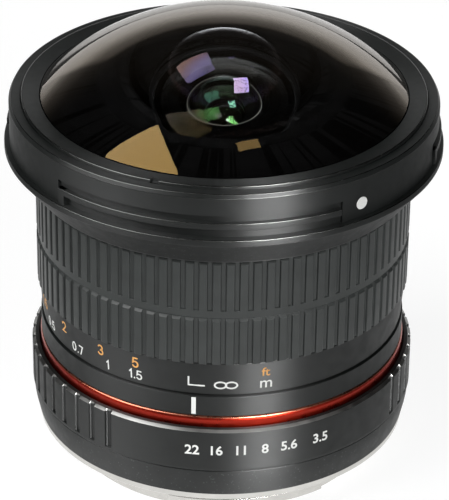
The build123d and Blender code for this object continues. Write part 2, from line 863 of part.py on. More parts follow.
# Middle group: carrier with its skirt in the main barrel, four elements and three rings
web_bottom = front_tube_bottom - carrier_web
skirt_top = front_tube_bottom + skirt_above_web
skirt_bottom = web_bottom - skirt_below_web
second_rear = second_front - second_edge
third_rear = third_front - third_edge
third_ring_top = third_front + ring_height
fourth_rear = fourth_front - fourth_edge
fifth_front = fourth_rear - cement
fourth_reach = fourth_radius - rim_flat
fourth_shoulder = fourth_front + sag(fourth_front_curve, fourth_reach) - sag(fourth_front_curve, fourth_opening)
carrier_bottom = web_bottom - rear_tube_length
with BuildPart() as focus_carrier:
    with BuildSketch(Plane.XZ):
        with BuildLine():
            Polyline(
                (second_radius + seat_gap, carrier_top),
                (front_tube_outer, carrier_top),
                (front_tube_outer, front_tube_bottom),
                (skirt_outer - skirt_wall, front_tube_bottom),
                (skirt_outer - skirt_wall, skirt_top),
                (skirt_outer, skirt_top),
                (skirt_outer, skirt_bottom),
                (skirt_outer - skirt_wall, skirt_bottom),
                (skirt_outer - skirt_wall, web_bottom),
                (rear_tube_outer, web_bottom),
                (rear_tube_outer, carrier_bottom),
                (fourth_radius + seat_gap, carrier_bottom),
                (fourth_radius + seat_gap, fourth_shoulder),
                (fourth_opening, fourth_shoulder),
                (third_rear_reach, third_rear),
                (third_radius + seat_gap, third_rear),
                (third_radius + seat_gap, third_ring_top),
                (third_radius + rim_flat, third_ring_top),
                (third_radius + rim_flat, second_rear),
                (second_radius + seat_gap, second_rear),
                close=True,
            )
        make_face()
    revolve(axis=Axis.Z)
    for follower in range(follower_count):
        place = follower_start + follower * 360 / follower_count
        with BuildSketch(outwards(place, skirt_outer - skirt_wall - overrun, follower_level)):
            Circle(follower_stud_radius + seat_gap)
        extrude(amount=skirt_wall + 2 * overrun, mode=Mode.SUBTRACT)
focus_carrier.part.label = "focus_carrier"
export_step(focus_carrier.part, "parts/focus_carrier.step")

# Followers: stud in the skirt, roller out through the main barrel into the cam drum
with BuildPart() as cam_followers:
    for follower in range(follower_count):
        place = follower_start + follower * 360 / follower_count
        with BuildSketch(outwards(place, skirt_outer - skirt_wall, follower_level)):
            Circle(follower_stud_radius)
        extrude(amount=skirt_wall + running_fit)
        with BuildSketch(outwards(place, skirt_outer + seat_gap, follower_level)):
            Circle(follower_roller_radius)
        extrude(amount=cam_outer - skirt_outer - running_fit)
cam_followers.part.label = "cam_followers"
export_step(cam_followers.part, "parts/cam_followers.step")

second_element = lens(
    second_radius, second_front, second_edge, second_front_curve, second_rear_curve,
    second_radius - rim_flat, second_rear_reach,
)
second_element.label = "second_element"
export_step(second_element, "parts/second_element.step")

second_perch = perch(second_front_curve, second_radius - rim_flat, second_ring_bore)
second_ring = collar(
    second_radius, second_ring_bore, second_front + second_perch, second_front + second_perch + second_ring_height
)
second_ring.label = "second_ring"
export_step(second_ring, "parts/second_ring.step")

third_element = lens(
    third_radius, third_front, third_edge, third_front_curve, third_rear_curve,
    third_radius - rim_flat, third_rear_reach,
)
third_element.label = "third_element"
export_step(third_element, "parts/third_element.step")

third_ring = collar(third_radius, third_ring_bore, third_front, third_ring_top)
third_ring.label = "third_ring"
export_step(third_ring, "parts/third_ring.step")

fourth_element = lens(
    fourth_radius, fourth_front, fourth_edge, fourth_front_curve, cemented_curve, fourth_reach, fourth_reach
)
fourth_element.label = "fourth_element"
export_step(fourth_element, "parts/fourth_element.step")

fifth_element = lens(
    fourth_radius, fifth_front, fifth_edge, cemented_curve, fifth_rear_curve, fourth_reach, fourth_reach
)
fifth_element.label = "fifth_element"
export_step(fifth_element, "parts/fifth_element.step")

# Ring behind the cemented pair; it keeps clear of the bulging rear surface
fifth_rear = fifth_front - fifth_edge
fifth_perch = perch(fifth_rear_curve, fourth_reach, fifth_ring_bore)
fifth_ring = collar(fourth_radius, fifth_ring_bore, carrier_bottom, fifth_rear - fifth_perch)
fifth_ring.label = "fifth_ring"
export_step(fifth_ring, "parts/fifth_ring.step")

# Iris base: plate on the ledge with pivot holes, the lever's curved window, a wall round
# the blades and three pillars for the cover
iris_window_sweep = aperture_travel + lever_sweep + 2 * window_slack_angle
with BuildPart() as iris_base:
    with BuildSketch(Plane.XY.offset(base_bottom)):
        Circle(tube_inner - running_fit)
        Circle(stop_radius, mode=Mode.SUBTRACT)
        with PolarLocations(pivot_ring_radius, blade_count, iris_start):
            Circle(blade_pin + pin_fit, mode=Mode.SUBTRACT)
        add(
            band(lever_inner - window_slack, lever_outer + window_slack, window_middle, iris_window_sweep),
            mode=Mode.SUBTRACT,
        )
    extrude(amount=base_thickness)
    with BuildSketch(Plane.XY.offset(base_top)):
        Circle(wall_outer)
        Circle(wall_inner, mode=Mode.SUBTRACT)
    extrude(amount=stack_top - base_top - end_play)
    with BuildSketch(Plane.XY.offset(base_top)):
        for place in pillar_places:
            with PolarLocations(pillar_ring_radius, 1, facing + place):
                Circle(pillar_radius)
    extrude(amount=cover_bottom - base_top)
iris_base.part.label = "iris_base"
export_step(iris_base.part, "parts/iris_base.step")


def pivot_place(blade):
    """Angle of a blade's pivot round the axis, from +X."""
    return iris_start + blade * 360 / blade_count


def iris_blade(blade):
    """Crescent blade at its own level, drawn closed: pivot pin rearwards, drive pin forwards."""
    turn = radians(pivot_place(blade))
    lean = radians(pivot_place(blade) + blade_swing)
    level = base_top + blade_gap + blade * level_pitch
    pivot = Plane(
        origin=(pivot_ring_radius * cos(turn), pivot_ring_radius * sin(turn), 0),
        x_dir=(cos(lean), sin(lean), 0),
        z_dir=(0, 0, 1),
    )
    drive = (pivot_ring_radius * (cos(radians(drive_spread)) - 1), pivot_ring_radius * sin(radians(drive_spread)))
    crescent = (blade_inner + blade_outer) / 2
    with BuildPart() as part:
        with BuildSketch(pivot.offset(level)):
            with BuildLine(mode=Mode.PRIVATE) as spine:
                CenterArc((-pivot_ring_radius, 0), crescent, 0, blade_sweep)
            SlotArc(spine.edge(), blade_outer - blade_inner)
            with Locations((-pivot_ring_radius, 0)):
                with PolarLocations(pivot_ring_radius, 2, 0, drive_spread, endpoint=True):
                    Circle(blade_ear)
                with PolarLocations((pivot_ring_radius + crescent) / 2, 2, 0, drive_spread, endpoint=True):
                    Rectangle(pivot_ring_radius - crescent, 2 * blade_ear)
        extrude(amount=blade_thickness)
        with BuildSketch(pivot.offset(base_top - pin_depth)):
            Circle(blade_pin)
        extrude(amount=level - base_top + pin_depth)
        with BuildSketch(pivot.offset(level + blade_thickness)):
            with Locations(drive):
                Circle(blade_pin)
        extrude(amount=stack_top + pin_depth - level - blade_thickness)
    return part.part


for blade in range(blade_count):
    one_blade = iris_blade(blade)
    one_blade.label = f"iris_blade_{blade + 1}"
    export_step(one_blade, f"parts/iris_blade_{blade + 1}.step")


def slot_point(share):
    """Where a drive pin stands on the drive ring once the iris is opened by this share."""
    lean = radians(90 + drive_spread / 2 + blade_swing * (1 - share))
    reach = pivot_ring_radius + drive_arm * cos(lean)
    side = drive_arm * sin(lean)
    turn = radians(aperture_travel * share)
    return (reach * cos(turn) - side * sin(turn), reach * sin(turn) + side * cos(turn))


# Drive ring: six spiral slots for the drive pins, and a tab out to the lever
with BuildPart() as iris_drive_ring:
    with BuildSketch(Plane.XY.offset(stack_top)):
        Circle(drive_rim)
        add(band(drive_rim - overrun, lever_outer, lever_angle, lever_sweep - window_slack))
        Circle(drive_bore, mode=Mode.SUBTRACT)
        with BuildLine(mode=Mode.PRIVATE) as slot_spine:
            ThreePointArc(slot_point(0), slot_point(1 / 2), slot_point(1))
        with PolarLocations(0, blade_count, iris_start):
            SlotArc(slot_spine.edge(), 2 * (blade_pin + pin_fit), mode=Mode.SUBTRACT)
    extrude(amount=drive_thickness)
iris_drive_ring.part.label = "iris_drive_ring"
export_step(iris_drive_ring.part, "parts/iris_drive_ring.step")

# Iris cover: disc on the pillars, with a hub that centres the drive ring
with BuildPart() as iris_cover:
    with BuildSketch(Plane.XY.offset(cover_bottom)):
        Circle(cover_radius)
        Circle(stop_radius, mode=Mode.SUBTRACT)
    extrude(amount=cover_thickness)
    with BuildSketch(Plane.XY.offset(stack_top)):
        Circle(drive_bore - running_fit)
        Circle(stop_radius, mode=Mode.SUBTRACT)
    extrude(amount=cover_bottom - stack_top)
iris_cover.part.label = "iris_cover"
export_step(iris_cover.part, "parts/iris_cover.step")

# Rear group: every element sits on the one in front of it through a spacer
flange_underside = base_bottom - cell_flange_thickness
sixth_front = base_bottom - sixth_below_flange
sixth_rear = sixth_front - sixth_edge
seventh_front = sixth_rear - first_spacer
seventh_rear = seventh_front - seventh_edge
eighth_front = seventh_rear - cement
eighth_rear = eighth_front - eighth_edge
ninth_front = eighth_rear - second_spacer
ninth_rear = ninth_front - ninth_edge
tenth_front = ninth_rear - cement
tenth_rear = tenth_front - tenth_edge
cell_bottom = base_bottom - cell_length
sixth_reach = sixth_radius - rim_flat
seventh_reach = seventh_radius - rim_flat
ninth_reach = ninth_radius - rim_flat
sixth_shoulder = sixth_front + sag(sixth_front_curve, sixth_reach) - sag(sixth_front_curve, sixth_opening)
with BuildPart() as rear_cell:
    with BuildSketch(Plane.XZ):
        with BuildLine():
            Polyline(
                (sixth_opening, base_bottom),
                (cell_flange, base_bottom),
                (cell_flange, flange_underside),
                (cell_outer, flange_underside),
                (cell_outer, cell_bottom + edge_break),
                (cell_outer - edge_break, cell_bottom),
                (ninth_radius + seat_gap, cell_bottom),
                (ninth_radius + seat_gap, ninth_front + second_spacer / 2),
                (seventh_radius + seat_gap, ninth_front + second_spacer / 2),
                (seventh_radius + seat_gap, seventh_front + first_spacer / 2),
                (sixth_radius + seat_gap, seventh_front + first_spacer / 2),
                (sixth_radius + seat_gap, sixth_shoulder),
                (sixth_opening, sixth_shoulder),
                close=True,
            )
        make_face()
    revolve(axis=Axis.Z)
rear_cell.part.label = "rear_cell"
export_step(rear_cell.part, "parts/rear_cell.step")

sixth_element = lens(
    sixth_radius, sixth_front, sixth_edge, sixth_front_curve, sixth_rear_curve, sixth_reach, sixth_reach
)
sixth_element.label = "sixth_element"
export_step(sixth_element, "parts/sixth_element.step")

seventh_element = lens(
    seventh_radius, seventh_front, seventh_edge, seventh_front_curve, rear_cemented_curve, seventh_reach, seventh_reach
)
seventh_element.label = "seventh_element"
export_step(seventh_element, "parts/seventh_element.step")

eighth_element = lens(
    seventh_radius, eighth_front, eighth_edge, rear_cemented_curve, eighth_rear_curve, seventh_reach, seventh_reach
)
eighth_element.label = "eighth_element"
export_step(eighth_element, "parts/eighth_element.step")

ninth_element = lens(
    ninth_radius, ninth_front, ninth_edge, ninth_front_curve, last_cemented_curve, ninth_reach, ninth_reach
)
ninth_element.label = "ninth_element"
export_step(ninth_element, "parts/ninth_element.step")

tenth_element = lens(
    ninth_radius, tenth_front, tenth_edge, last_cemented_curve, tenth_rear_curve, ninth_reach, ninth_reach
)
tenth_element.label = "tenth_element"
export_step(tenth_element, "parts/tenth_element.step")

front_spacer_top = sixth_rear - perch(sixth_rear_curve, sixth_reach, sixth_radius - spacer_wall)
front_spacer = collar(sixth_radius, sixth_radius - spacer_wall, seventh_front, front_spacer_top)
front_spacer.label = "front_spacer"
export_step(front_spacer, "parts/front_spacer.step")

rear_spacer_bore = seventh_radius - spacer_wall
rear_spacer_top = eighth_rear - perch(eighth_rear_curve, seventh_reach, rear_spacer_bore)
rear_spacer_bottom = ninth_front + perch(ninth_front_curve, ninth_reach, rear_spacer_bore)
rear_spacer = collar(seventh_radius, rear_spacer_bore, rear_spacer_bottom, rear_spacer_top)
rear_spacer.label = "rear_spacer"
export_step(rear_spacer, "parts/rear_spacer.step")

rear_ring_top = tenth_rear - perch(tenth_rear_curve, ninth_reach, rear_ring_bore)
rear_ring = collar(ninth_radius, rear_ring_bore, rear_ring_top - rear_ring_height, rear_ring_top)
rear_ring.label = "rear_ring"
export_step(rear_ring, "parts/rear_ring.step")

# Rear baffle: dark cup in the bayonet throat, hung by its rim, with the rear glass in
# the middle of its floor
baffle_outer = throat_bore - seat_gap
baffle_floor = plate_thickness - baffle_depth - baffle_wall
with BuildPart() as rear_baffle:
    with BuildSketch(Plane.XZ):
        with BuildLine():
            Polyline(
                (baffle_outer + baffle_rim_width, plate_thickness),
                (baffle_outer + baffle_rim_width, plate_thickness + baffle_rim_thickness),
                (baffle_outer - baffle_wall, plate_thickness + baffle_rim_thickness),
                (baffle_outer - baffle_wall, baffle_floor + baffle_wall),
                (baffle_opening + baffle_wall, baffle_floor + baffle_wall),
                (baffle_opening + baffle_wall, baffle_floor + baffle_wall + baffle_collar),
                (baffle_opening, baffle_floor + baffle_wall + baffle_collar),
                (baffle_opening, baffle_floor),
                (baffle_outer, baffle_floor),
                (baffle_outer, plate_thickness),
                close=True,
            )
        make_face()
    revolve(axis=Axis.Z)
rear_baffle.part.label = "rear_baffle"
export_step(rear_baffle.part, "parts/rear_baffle.step")
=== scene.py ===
from cmath import phase, rect
from math import ceil, cos, degrees, pi, radians, sin, sqrt, tan
import bmesh
import bpy
from mathutils import Matrix, Vector


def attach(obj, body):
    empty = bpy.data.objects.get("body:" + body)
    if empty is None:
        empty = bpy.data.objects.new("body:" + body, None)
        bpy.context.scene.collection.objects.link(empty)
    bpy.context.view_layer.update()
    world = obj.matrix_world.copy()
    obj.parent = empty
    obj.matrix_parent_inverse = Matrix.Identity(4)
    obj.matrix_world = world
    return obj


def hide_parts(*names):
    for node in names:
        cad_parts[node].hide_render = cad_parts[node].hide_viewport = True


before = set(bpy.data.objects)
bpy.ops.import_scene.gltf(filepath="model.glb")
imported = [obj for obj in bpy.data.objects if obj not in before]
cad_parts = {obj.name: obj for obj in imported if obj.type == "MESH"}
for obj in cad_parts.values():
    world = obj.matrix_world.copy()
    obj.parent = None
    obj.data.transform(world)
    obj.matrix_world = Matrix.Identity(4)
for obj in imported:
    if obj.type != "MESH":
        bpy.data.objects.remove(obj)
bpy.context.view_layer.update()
scene = bpy.context.scene
MM = 0.001

# Camera, from the camera fitted to the photograph's ellipses
eye = Vector((0, -0.4481, 0.2860))
aim = Vector((0.00034, 0, 0.0305))
roll = 0.72
cam_data = bpy.data.cameras.new("camera")
cam_data.sensor_width = 36
cam_data.lens = 212.5
camera = bpy.data.objects.new("camera", cam_data)
scene.collection.objects.link(camera)
facing = (aim - eye).to_track_quat("-Z", "Y").to_matrix().to_4x4()
camera.matrix_world = Matrix.Translation(eye) @ facing @ Matrix.Rotation(radians(roll), 4, "Z")
scene.camera = camera
scene.view_settings.view_transform = "Standard"


# Node helpers


def node(tree, kind, inputs=None, **settings):
    """Adds a node; inputs maps a socket's name or number to a value or to another socket."""
    n = tree.nodes.new("ShaderNode" + kind)
    for key, value in settings.items():
        setattr(n, key, value)
    for key, value in (inputs or {}).items():
        if isinstance(value, bpy.types.NodeSocket):
            tree.links.new(value, n.inputs[key])
        else:
            n.inputs[key].default_value = value
    return n


def calc(tree, operation, a, b=0.0, clamp=False):
    return node(tree, "Math", {0: a, 1: b}, operation=operation, use_clamp=clamp).outputs[0]


def blend(tree, factor, a, b):
    """Colour a where factor is 0, colour b where it is 1."""
    a, b = [c if isinstance(c, bpy.types.NodeSocket) else (*c, 1) for c in (a, b)]
    return node(tree, "Mix", {0: factor, 6: a, 7: b}, data_type="RGBA").outputs[2]


def principled(name, **sockets):
    """New material with its Principled shader set; returns material, tree and shader."""
    m = bpy.data.materials.new(name)
    m.use_nodes = True
    p = m.node_tree.nodes["Principled BSDF"]
    for key, value in sockets.items():
        p.inputs[key.replace("_", " ")].default_value = value
    return m, m.node_tree, p


def ramp(tree, factor, *stops):
    """Colour ramp from (place, colour or grey) stops."""
    n = node(tree, "ValToRGB", {"Fac": factor})
    while len(n.color_ramp.elements) < len(stops):
        n.color_ramp.elements.new(0.5)
    for element, (position, colour) in zip(n.color_ramp.elements, stops):
        element.position = position
        element.color = (colour, colour, colour, 1) if isinstance(colour, (int, float)) else (*colour, 1)
    return n.outputs["Color"]


def span(tree, value, low, high, to_low=0.0, to_high=1.0, smooth=False):
    """Maps a value from one range to another, held at its ends."""
    inputs = {0: value, 1: low, 2: high, 3: to_low, 4: to_high}
    kind = "SMOOTHSTEP" if smooth else "LINEAR"
    return node(tree, "MapRange", inputs, interpolation_type=kind).outputs[0]


def noise(tree, scale, detail=2, rough=0.5, stretch=None):
    """Noise with scale cells per millimetre."""
    point = node(tree, "TexCoord").outputs["Object"]
    if stretch:
        point = node(tree, "Mapping", {"Vector": point, "Scale": stretch}).outputs["Vector"]
    inputs = {"Vector": point, "Scale": scale / MM, "Detail": detail, "Roughness": rough}
    return node(tree, "TexNoise", inputs).outputs["Fac"]


def relief(tree, shader, *layers, edge=0.0):
    """Stacks bump layers of (height, depth in mm); edge softens corners by that many mm."""
    normal = node(tree, "Bevel", {"Radius": edge * MM}, samples=4).outputs["Normal"] if edge else None
    for height, depth in layers:
        inputs = {"Height": height, "Distance": depth * MM, "Strength": 1.0}
        if normal:
            inputs["Normal"] = normal
        normal = node(tree, "Bump", inputs).outputs["Normal"]
    tree.links.new(normal, shader.inputs["Normal"])


def length_of(tree, vector):
    return node(tree, "VectorMath", {0: vector}, operation="LENGTH").outputs["Value"]


def axis_distance(tree):
    """Distance from the lens axis, in metres."""
    point = node(tree, "SeparateXYZ", {0: node(tree, "TexCoord").outputs["Object"]})
    return length_of(tree, node(tree, "CombineXYZ", {0: point.outputs[0], 1: point.outputs[1]}).outputs[0])


# Materials
gloss_swing = 0.04       # how far roughness wanders to either side
speck_cells = 1.9        # specks per millimetre before most are left out
speck_gain = 9           # how much paler a speck is than its ground


def satin(name, colour, rough, grain=0.004, fineness=7.0, specks=0.0, specular=0.3, edge=0.0,
          spread=0.14, turning=0.0, metallic=0.0):
    """Satin finish: mottled colour, uneven gloss and fine grain.

    specks is the strength of scattered paler dots, and turning stretches the highlights
    along the lens axis, as on a part finished on a lathe.
    """
    m, t, p = principled(name, Specular_IOR_Level=specular, Metallic=metallic)
    if turning:
        p.inputs["Anisotropic"].default_value = turning
        p.inputs["Anisotropic Rotation"].default_value = 0.25
        t.links.new(node(t, "Tangent", direction_type="RADIAL", axis="Z").outputs[0], p.inputs["Tangent"])
    dark, light = (tuple(c * (1 + side * spread) for c in colour) for side in (-1, 1))
    base = ramp(t, noise(t, 0.25, 4, 0.6), (0.35, dark), (0.65, light))
    layers = [(noise(t, fineness, 2, 0.6), grain)]
    if specks:
        point = node(t, "TexCoord").outputs["Object"]
        cells = node(t, "TexVoronoi", {"Vector": point, "Scale": speck_cells / MM})
        near = span(t, cells.outputs["Distance"], 0.16, 0.30, 1.0, 0.0)
        some = span(t, noise(t, 1.1, 1), 0.50, 0.56)
        mark = calc(t, "MULTIPLY", near, some)
        pale = tuple(min(1, speck_gain * c) for c in colour)
        base = blend(t, calc(t, "MULTIPLY", mark, specks), base, pale)
        layers.append((mark, grain * 1.5))
    t.links.new(base, p.inputs["Base Color"])
    gloss = span(t, noise(t, 0.6, 3), 0.3, 0.7, rough - gloss_swing, rough + gloss_swing)
    t.links.new(gloss, p.inputs["Roughness"])
    relief(t, p, *layers, edge=edge)
    return m


black = satin("satin_black", (0.008, 0.0092, 0.0088), 0.45, grain=0.002, specular=0.5, turning=0.93)
textured = satin("textured_black", (0.009, 0.0102, 0.0098), 0.46, grain=0.007, fineness=4.5,
                 specks=0.55, specular=0.26, turning=0.90)
textured_rear = satin("textured_rear_black", (0.010, 0.0112, 0.0108), 0.44, grain=0.005, fineness=4.5,
                      specks=0.45, specular=0.5, turning=0.93)
inner_black = satin("inner_black", (0.003, 0.003, 0.003), 0.6, grain=0.003, specular=0.06, edge=0.08)
rubber = satin("rubber", (0.026, 0.0295, 0.0285), 0.42, grain=0.006, fineness=9.0, specular=0.45, spread=0.10)
red = satin("red_anodised", (0.36, 0.018, 0.006), 0.30, grain=0.001, fineness=9.0, spread=0.06,
            turning=0.6, metallic=1.0)
red.node_tree.nodes["Principled BSDF"].inputs["Coat Weight"].default_value = 0.25
red.node_tree.nodes["Principled BSDF"].inputs["Coat Roughness"].default_value = 0.22
# Painted highlight: a lighter orange metal for the red bead's top facet
red_highlight = satin("painted_red_highlight", (0.46, 0.16, 0.10), 0.28, grain=0.001, fineness=9.0, spread=0.06,
                 turning=0.6, metallic=1.0)
# Painted highlight: the aperture ring's top bevel is a lighter metal so it shows as a light band
bevel = satin("painted_bevel_highlight", (0.30, 0.30, 0.29), 0.34, grain=0.001, fineness=9.0, spread=0.10,
              turning=0.5, metallic=1.0)
# Painted edge highlight: a lighter metal laid on edge fillets so they show as bright lines
edge_highlight = satin("painted_edge_highlight", (0.085, 0.088, 0.085), 0.24, grain=0.001, fineness=9.0, spread=0.10, metallic=1.0)
baffle = satin("baffle_plastic", (0.012, 0.012, 0.012), 0.5, grain=0.006, edge=0.15)
paint_white = satin("white_paint", (0.72, 0.73, 0.71), 0.5, grain=0.003, spread=0.04)
paint_orange = satin("orange_paint", (0.70, 0.35, 0.10), 0.5, grain=0.003, spread=0.06)


def metal(name, colour, rough, rings=0.0, brushed=0.0, edge=0.08):
    """Bare metal with turning rings or brushing, so many mm deep, in its gloss and relief."""
    m, t, p = principled(name, Metallic=1.0)
    if rings:
        inputs = {"W": axis_distance(t), "Scale": 9.0 / MM, "Detail": 3.0}
        lines = node(t, "TexNoise", inputs, noise_dimensions="1D").outputs["Fac"]
    else:
        lines = noise(t, 3.0, 3, 0.6, stretch=(1.0, 0.05, 0.05))
    stained = tuple(c * 0.86 for c in colour)
    t.links.new(ramp(t, noise(t, 0.18, 4, 0.6), (0.3, stained), (0.7, colour)), p.inputs["Base Color"])
    t.links.new(span(t, lines, 0.3, 0.7, rough * 0.75, rough * 1.25), p.inputs["Roughness"])
    relief(t, p, (lines, rings or brushed), edge=edge)
    return m


chrome = metal("turned_chrome", (0.66, 0.65, 0.62), 0.24, rings=0.0012)
steel = metal("steel", (0.56, 0.55, 0.53), 0.28, brushed=0.0010)
blade_steel = metal("blade_steel", (0.045, 0.045, 0.047), 0.42, brushed=0.0008, edge=0.0)


def coated(name, *shift, ior=1.6):
    """Glass surface whose coating tints what it reflects, with faint wiping marks in its gloss.

    shift is one tint, or (facing, tint) stops for a tint that changes with the angle, where
    facing is ten times the Layer Weight node's.
    """
    m, t, p = principled(name, IOR=ior, Transmission_Weight=1.0)
    p.inputs["Base Color"].default_value = (1, 1, 1, 1)
    if len(shift) == 1:
        p.inputs["Specular Tint"].default_value = (*shift[0], 1)
    else:
        facing = node(t, "LayerWeight", {"Blend": 0.5}).outputs["Facing"]
        t.links.new(ramp(t, calc(t, "MULTIPLY", facing, 10.0), *shift), p.inputs["Specular Tint"])
    t.links.new(span(t, noise(t, 0.3, 3), 0.45, 0.8, 0.0, 0.003), p.inputs["Roughness"])
    return m


glass_front = coated("glass_front", (1.0, 0.64, 0.22))
glass_hollow = coated("glass_hollow", (0.0, (0.32, 0.23, 0.34)), (0.10, (0.29, 0.20, 0.32)),
                      (0.22, (0.20, 0.15, 0.36)), (0.42, (0.42, 0.33, 0.68)), (0.8, (0.50, 0.24, 0.18)))
glass_olive = coated("glass_olive", (0.085, 0.060, 0.024))
glass_teal = coated("glass_teal", (0.0, (0.10, 0.24, 0.15)), (0.4, (0.12, 0.36, 0.24)))
glass_green = coated("glass_green", (0.10, 0.28, 0.07))
glass_deep = coated("glass_deep", (0.5, 0.5, 0.45), ior=1.5)
# Painted highlight: a pale grey for the retainer's front chamfer, a light ring seen through the glass
ring_highlight = satin("painted_ring_highlight", (0.16, 0.16, 0.14), 0.4, specular=0.5)
glass_edge = satin("blackened_edge", (0.002, 0.002, 0.002), 0.6, specular=0.0)


# Mesh helpers: profiles are (radius, height) in mm, angles in degrees from the camera's side
weld = 2e-7              # points of a mesh closer than this many metres become one
flat_edge = 1e-7         # edges shorter than this many metres are dissolved


def place(r, angle, z):
    """Point at a radius, an angle round the axis (0 faces the camera) and a height."""
    turn = radians(angle)
    return r * sin(turn) * MM, -r * cos(turn) * MM, z * MM


def round_degrees(distance, radius):
    """Angle in degrees that a distance along a circle takes."""
    return degrees(distance / radius)


HIGHLIGHT_EDGE = True              # fourth value of a corner whose arc takes the painted edge highlight


def outline(corners, steps=4):
    """Points of the rounded profile, each with whether the face after it is painted as an edge highlight.

    A corner is (radius, height, round), with a fourth true value when its arc is painted lighter metal as an
    edge highlight.
    """
    points = []
    for i, (r, z, fillet, *highlit) in enumerate(corners):
        p = complex(r, z)
        if not fillet:
            points.append((p, False))
            continue
        u = complex(*corners[i - 1][:2]) - p
        v = complex(*corners[(i + 1) % len(corners)][:2]) - p
        length = min(abs(u), abs(v))
        u, v = u / abs(u), v / abs(v)
        half = abs(phase(v / u)) / 2
        reach = min(fillet / tan(half), 0.45 * length)     # two arcs on one side never meet
        centre = p + (u + v) / abs(u + v) * reach / cos(half)
        a, b = p + u * reach - centre, p + v * reach - centre
        arc_points = [centre + a * rect(1, phase(b / a) * k / steps) for k in range(steps + 1)]
        points += [(c, bool(highlit) and k < steps) for k, c in enumerate(arc_points)]
    return [((c.real, c.imag), highlit) for c, highlit in points]


def rounded(corners, steps=4):
    """Closed profile with each (radius, height, round) corner turned into an arc."""
    return [point for point, highlit in outline(corners, steps)]


def arc(curve, start, end, rim, steps=48):
    """Points of a spherical surface from radius start to end; rim is (radius, height) on it."""
    centre = rim[1] - sqrt(curve * curve - rim[0] ** 2)
    radii = [start + (end - start) * k / steps for k in range(steps + 1)]
    return [(r, centre + sqrt(curve * curve - r * r)) for r in radii]


def piece(name, bm, body, materials, node_name=None, crease=32):
    """Turns a bmesh into a smooth-shaded piece that rides on a body."""
    mesh = bpy.data.meshes.new(name)
    bm.to_mesh(mesh)
    bm.free()
    mesh.shade_smooth()
    mesh.set_sharp_from_angle(angle=radians(crease))
    obj = bpy.data.objects.new(name, mesh)
    scene.collection.objects.link(obj)
    for m in materials:
        mesh.materials.append(m)
    weighted = obj.modifiers.new("weighted", "WEIGHTED_NORMAL")
    weighted.keep_sharp = True
    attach(obj, body)
    if node_name:
        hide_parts(node_name)
    return obj


def spun(name, columns, body, node_name, materials, paint=None, crease=32):
    """Closed piece from (angle, profile) columns set round the axis, joined column to column.

    paint gives the material number of the faces between a profile's points k and k + 1.
    """
    bm = bmesh.new()
    count = len(columns[0][1])
    grid = [[bm.verts.new(place(r, angle, z)) for r, z in profile] for angle, profile in columns]
    for i in range(len(grid)):
        a, b = grid[i], grid[(i + 1) % len(grid)]
        for k in range(count):
            n = (k + 1) % count
            face = bm.faces.new((a[k], b[k], b[n], a[n]))
            if paint:
                face.material_index = paint(k)
    bmesh.ops.remove_doubles(bm, verts=bm.verts, dist=weld)
    bmesh.ops.dissolve_degenerate(bm, dist=flat_edge, edges=bm.edges)
    bmesh.ops.recalc_face_normals(bm, faces=bm.faces)
    return piece(name, bm, body, materials, node_name, crease)


def lathe(name, profile, body, node_name, materials, paint=None, count=360):
    columns = [(360 * i / count, profile) for i in range(count)]
    return spun(name, columns, body, node_name, materials, paint)


def bar(bm, section, start, sweep, steps):
    """Adds a curved bar with capped ends to an open bmesh; corners painted as edge highlights take the second
    material.
    """
    angles = [start + sweep * i / steps for i in range(steps + 1)]
    grid = [[bm.verts.new(place(r, angle, z)) for (r, z), highlit in section] for angle in angles]
    for a, b in zip(grid, grid[1:]):
        for k in range(len(section)):
            n = (k + 1) % len(section)
            bm.faces.new((a[k], b[k], b[n], a[n])).material_index = int(section[k][1])
    bm.faces.new(grid[0])
    bm.faces.new(reversed(grid[-1]))


# Sizes that several profiles share, in mm
sleeve_bore = 29.02                                    # fixed sleeves on the main barrel
ring_bore = 29.1                                       # turning rings on the main barrel
lip_radius, lip_front = 37.5, 53.5
wall_radius, wall_front = 36.6, 61.3                   # smooth wall in front of the hood rails
slot_front = 57.5                                      # front end of the slot behind the rails
bezel_radius, bezel_seat = 34.6, 59.4
glass_radius, glass_seat = 31.82, 57.9
index_radius, index_rear, index_front = 31.8, 16.5, 20.3
red_radius, red_rear = 32.0, 13.75
scale_rear, scale_front = 20.6, 26.9
scale_rear_radius, scale_front_radius = 31.5, 32.0
grip_seat, grip_front = 31.0, 46.55
numbers_radius = 33.5                                  # numbered face of the aperture ring

# Front flange with its three hood rails, and the bezel
slot_radius, band_radius = 36.1, 36.59                 # beside the rails, and between them
rail_radius, rail_rear, rail_front = 37.02, 55.2, 56.32
rail_inside = 35.9
rail_start, rail_sweep = -46.8, 78.0
slot_margin = 0.6                                      # degrees that the slot is longer at each end
slot_step = 0.01                                       # degrees that the slot's end wall takes
slot_columns, band_columns, rail_columns = 104, 55, 96
stop_sweep, stop_columns, stop_rear = 2.2, 6, 53.3     # the block that ends a rail
neck_radius, neck_rear = 33.5, 47.0
cone_radius, cone_front = 37.3, 52.2
throat_radius, bowl_rear = 18.3, 50.0


# Corners with a fourth value take the painted edge highlight on their arcs
def flange_corners(groove):
    """Section of the flange; groove is its radius where the slot runs."""
    return [
        (sleeve_bore, neck_rear, 0), (33.1, neck_rear, 0.1), (neck_radius, 47.4, 0.1),
        (cone_radius, cone_front, 0.14, HIGHLIGHT_EDGE),
        (lip_radius, 52.4, 0.12), (lip_radius, lip_front, 0.16, HIGHLIGHT_EDGE),
        (groove, lip_front, 0), (groove, slot_front, 0),
        (wall_radius, slot_front, 0), (wall_radius, 60.6, 0.22, HIGHLIGHT_EDGE), (36.25, wall_front, 0.15, HIGHLIGHT_EDGE),
        (bezel_radius, wall_front, 0.08, HIGHLIGHT_EDGE), (bezel_radius, bezel_seat, 0),
        (glass_radius, bezel_seat, 0), (glass_radius, glass_seat, 0),
        (throat_radius, glass_seat, 0.1), (throat_radius, 56.2, 0.1), (27.0, 52.3, 0), (27.0, bowl_rear, 0),
        (sleeve_bore, bowl_rear, 0),
    ]


flange_plain = outline(flange_corners(band_radius))
flange_slotted = outline(flange_corners(slot_radius))


